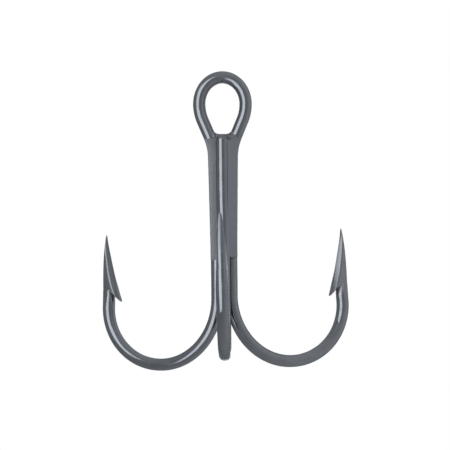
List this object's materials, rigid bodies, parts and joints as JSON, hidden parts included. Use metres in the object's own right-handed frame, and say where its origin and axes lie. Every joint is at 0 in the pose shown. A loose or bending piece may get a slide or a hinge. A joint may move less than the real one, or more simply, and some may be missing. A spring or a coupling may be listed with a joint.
{
  "type": "treble hook",
  "caption": "Brazed treble fishing hook with a teardrop line eye, a straight shank, round bends and barbed points, in dark nickel-plated steel wire.",
  "frame": {"origin": "where the line or split ring bears: the middle of the eye crown's inner side, in the plane of the eye", "axes": "+Z along the shank towards the eye, the eye opens along Y, the single hook points to -Y and the other two lie 120 degrees either side of it"},
  "size_m": [0.0418, 0.0365, 0.0501],
  "materials": {
    "plated_wire": "satin-gloss black nickel plate on drawn high-carbon steel wire",
    "plated_braze": "satin black nickel plate over a smooth braze bead"
  },
  "bodies": {
    "root": {"double_hook_wire": "plated_wire", "single_hook_wire": "plated_wire", "braze_seam_left": "plated_braze", "braze_seam_right": "plated_braze", "braze_seam_rear": "plated_braze", "braze_core": "plated_braze", "braze_saddle": "plated_braze"}
  },
  "joints": []
}
